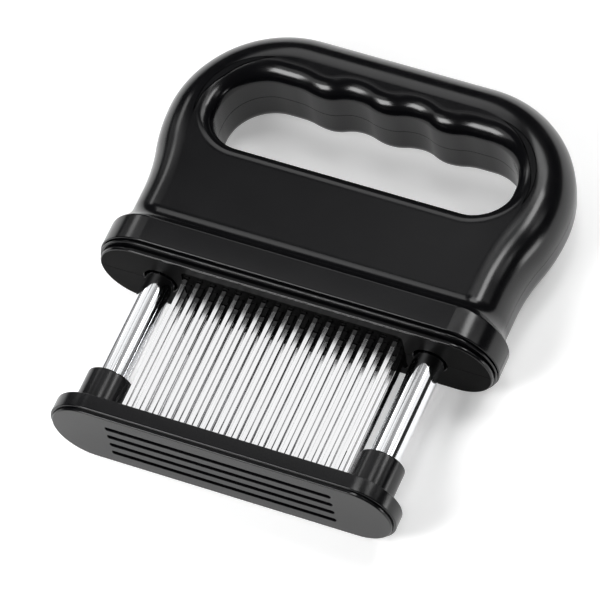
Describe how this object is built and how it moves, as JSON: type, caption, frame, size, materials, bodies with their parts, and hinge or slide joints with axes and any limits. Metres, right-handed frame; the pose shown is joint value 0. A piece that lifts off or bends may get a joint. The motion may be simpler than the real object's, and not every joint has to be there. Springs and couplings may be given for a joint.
{
  "type": "blade meat tenderizer",
  "caption": "Hand press with a D-shaped grip, rows of flat chisel-tipped blades and a slotted guard foot that slides on two sprung hollow posts.",
  "frame": {"origin": "under the middle of the tool's length and width, at the level of the surface that it lies on, on its back", "axes": "+X along the foot to the tool's right, +Y from the foot up to the handle, +Z out of the tool's front face"},
  "size_m": [0.119, 0.1352, 0.0297],
  "materials": {
    "handle_abs": "polished moulded black ABS",
    "guard_abs": "satin moulded black ABS",
    "block_abs": "moulded black ABS",
    "post_chrome": "polished chrome plate",
    "blade_steel": "bright rolled stainless steel",
    "screw_steel": "zinc-plated steel",
    "fitting_steel": "turned steel",
    "spring_steel": "drawn spring wire",
    "bush_acetal": "black acetal"
  },
  "bodies": {
    "handle": {"handle_front_shell": "handle_abs", "handle_rear_shell": "handle_abs", "handle_screws": "screw_steel", "blade_comb_plate": "block_abs", "blade_clamp_plate": "block_abs", "clamp_screws": "screw_steel", "blade_row_1": "blade_steel", "blade_row_2": "blade_steel", "blade_row_3": "blade_steel", "blade_row_4": "blade_steel", "guide_bush_left": "bush_acetal", "guide_bush_right": "bush_acetal", "spring_rod_left": "fitting_steel", "spring_rod_right": "fitting_steel", "return_spring_left": "spring_steel", "return_spring_right": "spring_steel"},
    "guard": {"foot_plate": "guard_abs", "foot_cover": "guard_abs", "post_screws": "screw_steel", "post_collar_left": "guard_abs", "post_collar_right": "guard_abs", "guide_post_left": "post_chrome", "guide_post_right": "post_chrome", "post_plug_left": "fitting_steel", "post_plug_right": "fitting_steel", "stop_ring_left": "fitting_steel", "stop_ring_right": "fitting_steel"}
  },
  "joints": [
    {"name": "guard_slide", "type": "slide", "parent": "handle", "child": "guard", "axis": [0, 1, 0], "range_m": [0, 0.025], "stiffness_N_per_m": 500, "springref_m": -0.01, "deforming": ["return_spring_left", "return_spring_right"]}
  ]
}
